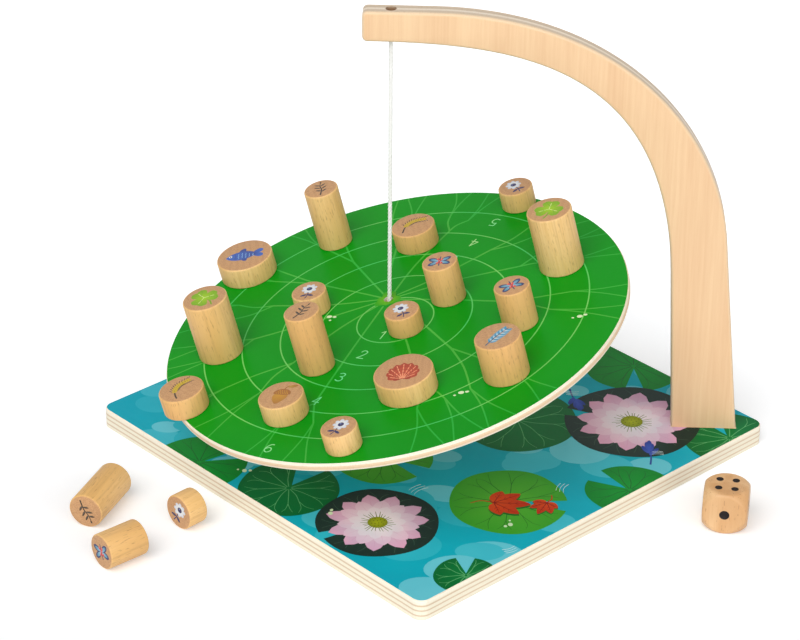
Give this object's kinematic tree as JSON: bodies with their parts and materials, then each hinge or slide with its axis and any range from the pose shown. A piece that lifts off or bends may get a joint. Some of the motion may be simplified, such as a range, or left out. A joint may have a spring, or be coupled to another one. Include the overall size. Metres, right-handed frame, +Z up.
{
  "type": "balance game",
  "caption": "Square board with a tall hooked arm that hangs a round playing board from one cord, with loose wooden pegs to stand on it and a die.",
  "frame": {"origin": "middle of the square board's underside, the face that the game stands on", "axes": "+Z up; the square board's edges run along X and Y; the arm stands on the +X +Y corner, in the vertical plane of that diagonal"},
  "size_m": [0.304, 0.3344, 0.2443],
  "materials": {
    "board_plywood": "pale plywood, eased edges, clear matt lacquer",
    "arm_plywood": "plywood with a peach coloured face, rounded edges, clear satin lacquer",
    "pond_print": "satin printed sheet, blue green water and leaves",
    "leaf_print": "satin printed sheet, leaf green with pale rings and veins",
    "peg_wood": "turned beech, sanded, printed on one end",
    "die_wood": "rounded beech, sanded, dark drilled pips",
    "white_cord": "white twisted cord",
    "screw_steel": "zinc plated steel"
  },
  "bodies": {
    "stand": {"base_board": "board_plywood", "base_sheet": "pond_print", "arm": "arm_plywood", "foot_screw_inner": "screw_steel", "foot_screw_outer": "screw_steel"},
    "upper_knot": {"upper_knot": "white_cord"},
    "cord": {"hanging_cord": "white_cord"},
    "lower_knot": {"lower_knot": "white_cord"},
    "disc": {"disc_board": "board_plywood", "disc_sheet": "leaf_print"},
    "thin_tall_peg_1": {"thin_tall_peg_1": "peg_wood"},
    "thin_tall_peg_2": {"thin_tall_peg_2": "peg_wood"},
    "thin_middle_peg_1": {"thin_middle_peg_1": "peg_wood"},
    "thin_middle_peg_2": {"thin_middle_peg_2": "peg_wood"},
    "thin_short_peg_1": {"thin_short_peg_1": "peg_wood"},
    "thin_short_peg_2": {"thin_short_peg_2": "peg_wood"},
    "thin_short_peg_3": {"thin_short_peg_3": "peg_wood"},
    "thin_short_peg_4": {"thin_short_peg_4": "peg_wood"},
    "medium_tall_peg_1": {"medium_tall_peg_1": "peg_wood"},
    "medium_tall_peg_2": {"medium_tall_peg_2": "peg_wood"},
    "medium_middle_peg_1": {"medium_middle_peg_1": "peg_wood"},
    "medium_short_peg_1": {"medium_short_peg_1": "peg_wood"},
    "medium_short_peg_2": {"medium_short_peg_2": "peg_wood"},
    "medium_short_peg_3": {"medium_short_peg_3": "peg_wood"},
    "wide_short_peg_1": {"wide_short_peg_1": "peg_wood"},
    "wide_short_peg_2": {"wide_short_peg_2": "peg_wood"},
    "thin_tall_peg_3": {"thin_tall_peg_3": "peg_wood"},
    "thin_middle_peg_3": {"thin_middle_peg_3": "peg_wood"},
    "thin_short_peg_5": {"thin_short_peg_5": "peg_wood"},
    "die": {"die": "die_wood"}
  },
  "joints": [
    {"name": "cord_turn", "type": "hinge", "parent": "stand", "child": "upper_knot", "pos_m": [-0.01628, -0.01628, 0.2283], "axis": [0, 0, 1], "continuous": true},
    {"name": "cord_swing", "type": "hinge", "parent": "upper_knot", "child": "cord", "pos_m": [-0.01628, -0.01628, 0.2283], "axis": [0.8821, -0.471, 0], "range_deg": [-6, 6]},
    {"name": "disc_tilt", "type": "hinge", "parent": "cord", "child": "lower_knot", "pos_m": [-0.01628, -0.01628, 0.0786], "axis": [-0.8821, 0.471, 0], "range_deg": [-11.5, 39.4]},
    {"name": "disc_spin", "type": "hinge", "parent": "lower_knot", "child": "disc", "pos_m": [-0.01628, -0.01628, 0.0786], "axis": [-0.1135, -0.2127, 0.9705], "continuous": true},
    {"name": "thin_tall_peg_1_lift", "type": "slide", "parent": "disc", "child": "thin_tall_peg_1", "axis": [-0.1135, -0.2127, 0.9705], "range_m": [0, 0.02]},
    {"name": "thin_tall_peg_2_lift", "type": "slide", "parent": "disc", "child": "thin_tall_peg_2", "axis": [-0.1135, -0.2127, 0.9705], "range_m": [0, 0.02]},
    {"name": "thin_middle_peg_1_lift", "type": "slide", "parent": "disc", "child": "thin_middle_peg_1", "axis": [-0.1135, -0.2127, 0.9705], "range_m": [0, 0.02]},
    {"name": "thin_middle_peg_2_lift", "type": "slide", "parent": "disc", "child": "thin_middle_peg_2", "axis": [-0.1135, -0.2127, 0.9705], "range_m": [0, 0.02]},
    {"name": "thin_short_peg_1_lift", "type": "slide", "parent": "disc", "child": "thin_short_peg_1", "axis": [-0.1135, -0.2127, 0.9705], "range_m": [0, 0.02]},
    {"name": "thin_short_peg_2_lift", "type": "slide", "parent": "disc", "child": "thin_short_peg_2", "axis": [-0.1135, -0.2127, 0.9705], "range_m": [0, 0.02]},
    {"name": "thin_short_peg_3_lift", "type": "slide", "parent": "disc", "child": "thin_short_peg_3", "axis": [-0.1135, -0.2127, 0.9705], "range_m": [0, 0.02]},
    {"name": "thin_short_peg_4_lift", "type": "slide", "parent": "disc", "child": "thin_short_peg_4", "axis": [-0.1135, -0.2127, 0.9705], "range_m": [0, 0.02]},
    {"name": "medium_tall_peg_1_lift", "type": "slide", "parent": "disc", "child": "medium_tall_peg_1", "axis": [-0.1135, -0.2127, 0.9705], "range_m": [0, 0.02]},
    {"name": "medium_tall_peg_2_lift", "type": "slide", "parent": "disc", "child": "medium_tall_peg_2", "axis": [-0.1135, -0.2127, 0.9705], "range_m": [0, 0.02]},
    {"name": "medium_middle_peg_1_lift", "type": "slide", "parent": "disc", "child": "medium_middle_peg_1", "axis": [-0.1135, -0.2127, 0.9705], "range_m": [0, 0.02]},
    {"name": "medium_short_peg_1_lift", "type": "slide", "parent": "disc", "child": "medium_short_peg_1", "axis": [-0.1135, -0.2127, 0.9705], "range_m": [0, 0.02]},
    {"name": "medium_short_peg_2_lift", "type": "slide", "parent": "disc", "child": "medium_short_peg_2", "axis": [-0.1135, -0.2127, 0.9705], "range_m": [0, 0.02]},
    {"name": "medium_short_peg_3_lift", "type": "slide", "parent": "disc", "child": "medium_short_peg_3", "axis": [-0.1135, -0.2127, 0.9705], "range_m": [0, 0.02]},
    {"name": "wide_short_peg_1_lift", "type": "slide", "parent": "disc", "child": "wide_short_peg_1", "axis": [-0.1135, -0.2127, 0.9705], "range_m": [0, 0.02]},
    {"name": "wide_short_peg_2_lift", "type": "slide", "parent": "disc", "child": "wide_short_peg_2", "axis": [-0.1135, -0.2127, 0.9705], "range_m": [0, 0.02]},
    {"name": "thin_tall_peg_3_lift", "type": "slide", "parent": "stand", "child": "thin_tall_peg_3", "axis": [0, 0, 1], "range_m": [0, 0.01]},
    {"name": "thin_middle_peg_3_lift", "type": "slide", "parent": "stand", "child": "thin_middle_peg_3", "axis": [0, 0, 1], "range_m": [0, 0.01]},
    {"name": "thin_short_peg_5_lift", "type": "slide", "parent": "stand", "child": "thin_short_peg_5", "axis": [0, 0, 1], "range_m": [0, 0.01]},
    {"name": "die_lift", "type": "slide", "parent": "stand", "child": "die", "axis": [0, 0, 1], "range_m": [0, 0.01]}
  ]
}
